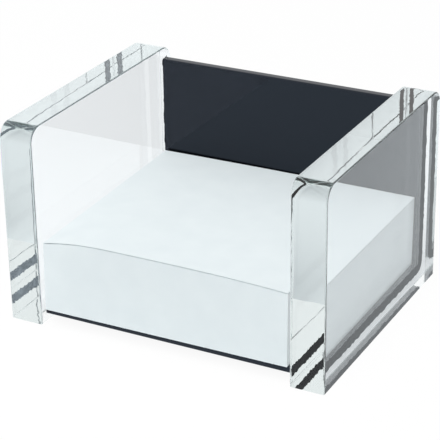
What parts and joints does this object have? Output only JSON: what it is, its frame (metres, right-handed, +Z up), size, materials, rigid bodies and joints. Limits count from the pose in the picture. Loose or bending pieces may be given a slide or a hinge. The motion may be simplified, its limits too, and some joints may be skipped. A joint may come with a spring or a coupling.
{
  "type": "memo paper holder",
  "caption": "Desk holder for loose memo paper: two thick clear acrylic sides, a bent black acrylic floor and back panel, open at the front and top, with a stack of white memo sheets.",
  "frame": {"origin": "middle of the footprint, on the table", "axes": "+X across the holder from the left side to the right side, +Y from the open front to the back panel, +Z up"},
  "size_m": [0.119, 0.0944, 0.072],
  "materials": {
    "clear_acrylic": "cast clear acrylic, faces and edges polished",
    "black_acrylic": "gloss black acrylic sheet, heat bent, edges polished",
    "memo_paper": "uncoated white writing paper, cut edges"
  },
  "bodies": {
    "holder": {"left_side": "clear_acrylic", "right_side": "clear_acrylic", "bent_sheet": "black_acrylic"},
    "paper_stack": {"memo_stack": "memo_paper"},
    "loose_sheet": {"top_sheet": "memo_paper"}
  },
  "joints": [
    {"name": "stack_lift", "type": "slide", "parent": "holder", "child": "paper_stack", "axis": [0, 0, 1], "range_m": [0, 0.075]},
    {"name": "sheet_lift", "type": "slide", "parent": "paper_stack", "child": "loose_sheet", "axis": [0, 0, 1], "range_m": [0, 0.05]}
  ]
}
